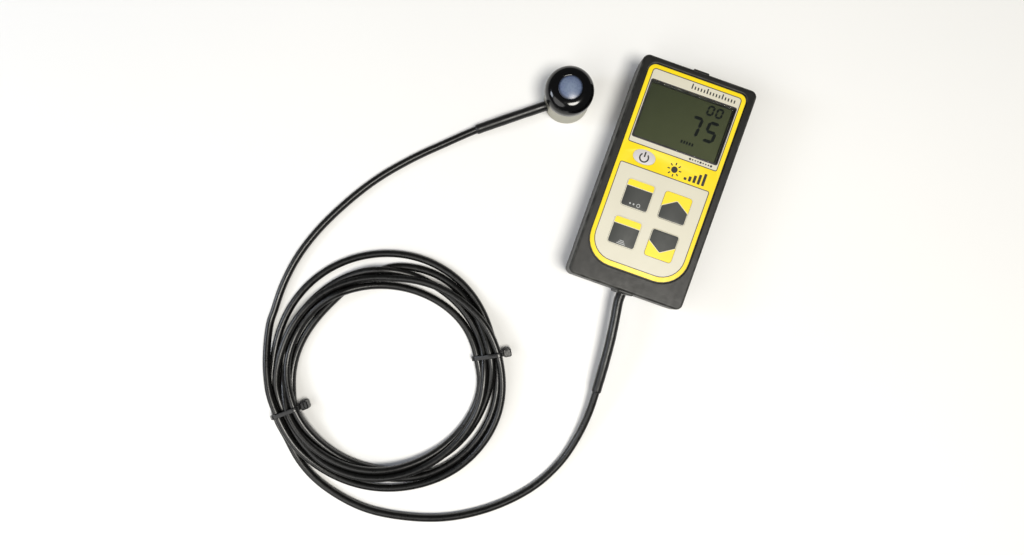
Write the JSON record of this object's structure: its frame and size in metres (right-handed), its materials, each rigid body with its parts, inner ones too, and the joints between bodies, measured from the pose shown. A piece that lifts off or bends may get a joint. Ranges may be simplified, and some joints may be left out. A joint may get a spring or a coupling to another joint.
{
  "type": "handheld light meter",
  "caption": "Handheld digital light meter with a yellow-edged label, display, pressable keys and a remote cosine light sensor on a coiled cable.",
  "frame": {"origin": "centre of the meter case's rear resting face", "axes": "+Z out of the meter's front face, +Y towards the display end, +X to the right of the display"},
  "size_m": [0.2167, 0.2948, 0.0275],
  "materials": {
    "case_plastic": "fine grained moulding, satin",
    "label_print": "printed film, satin",
    "key_grey": "printed film, satin",
    "key_white": "printed film, satin",
    "window_clear": "clear, polished",
    "lcd": "grey-green reflective display",
    "holder_plastic": "satin",
    "light_plastic": "satin",
    "elastomer": "matt",
    "board": "solder mask, satin",
    "components": "moulded epoxy",
    "steel": "plated",
    "cell_steel": "plated",
    "gold_contact": "plated",
    "seal_rubber": "matt",
    "cable_rubber": "extruded jacket, satin",
    "sleeve_rubber": "shrink sleeve, satin",
    "tie_nylon": "satin",
    "wire": "insulated wire",
    "sensor_metal": "bead blasted and clear anodised",
    "cap_plastic": "polished",
    "diffuser_acrylic": "opal acrylic, polished",
    "filter_glass": "polished",
    "potting": "cast epoxy"
  },
  "bodies": {
    "meter": {"front_shell": "case_plastic", "rear_shell": "case_plastic", "shell_gasket": "seal_rubber", "case_screws": "steel", "board_screws": "steel", "clamp_screws": "steel", "battery_holder": "light_plastic", "cable_clamp": "light_plastic", "coin_cell": "cell_steel", "battery_contact": "gold_contact", "label_overlay": "label_print", "display_window": "window_clear", "lcd_glass": "lcd", "lcd_holder": "holder_plastic", "elastomer_strips": "elastomer", "dome_power": "steel", "dome_sample": "steel", "dome_mode": "steel", "dome_up": "steel", "dome_down": "steel", "main_board": "board", "board_components": "components", "cable_grommet": "cable_rubber", "cable_tail": "cable_rubber", "signal_wires": "wire", "meter_sleeve": "sleeve_rubber", "meter_lead": "cable_rubber", "cable_coil": "cable_rubber", "tie_left": "tie_nylon", "tie_right": "tie_nylon", "sensor_lead": "cable_rubber", "sensor_sleeve": "sleeve_rubber", "sensor_cable_seal": "seal_rubber", "sensor_cable_tail": "cable_rubber", "sensor_body": "sensor_metal", "sensor_cap": "cap_plastic", "diffuser": "diffuser_acrylic", "optical_filter": "filter_glass", "photodiode": "gold_contact", "sensor_board": "board", "sensor_wires": "wire", "sensor_potting": "potting"},
    "battery_door": {"battery_cover": "case_plastic", "battery_cover_screw": "steel"},
    "power_button": {"key_power": "key_white"},
    "sample_button": {"key_sample": "key_grey"},
    "mode_button": {"key_mode": "key_grey"},
    "up_button": {"key_up": "key_grey"},
    "down_button": {"key_down": "key_grey"}
  },
  "joints": [
    {"name": "battery_door_lift", "type": "slide", "parent": "meter", "child": "battery_door", "axis": [0, 0, -1], "range_m": [0, 0.012]},
    {"name": "power_press", "type": "slide", "parent": "meter", "child": "power_button", "axis": [0, 0, -1], "range_m": [0, 0.0003], "stiffness_N_per_m": 800, "deforming": ["dome_power"]},
    {"name": "sample_press", "type": "slide", "parent": "meter", "child": "sample_button", "axis": [0, 0, -1], "range_m": [0, 0.0003], "stiffness_N_per_m": 800, "deforming": ["dome_sample"]},
    {"name": "mode_press", "type": "slide", "parent": "meter", "child": "mode_button", "axis": [0, 0, -1], "range_m": [0, 0.0003], "stiffness_N_per_m": 800, "deforming": ["dome_mode"]},
    {"name": "up_press", "type": "slide", "parent": "meter", "child": "up_button", "axis": [0, 0, -1], "range_m": [0, 0.0003], "stiffness_N_per_m": 800, "deforming": ["dome_up"]},
    {"name": "down_press", "type": "slide", "parent": "meter", "child": "down_button", "axis": [0, 0, -1], "range_m": [0, 0.0003], "stiffness_N_per_m": 800, "deforming": ["dome_down"]}
  ]
}
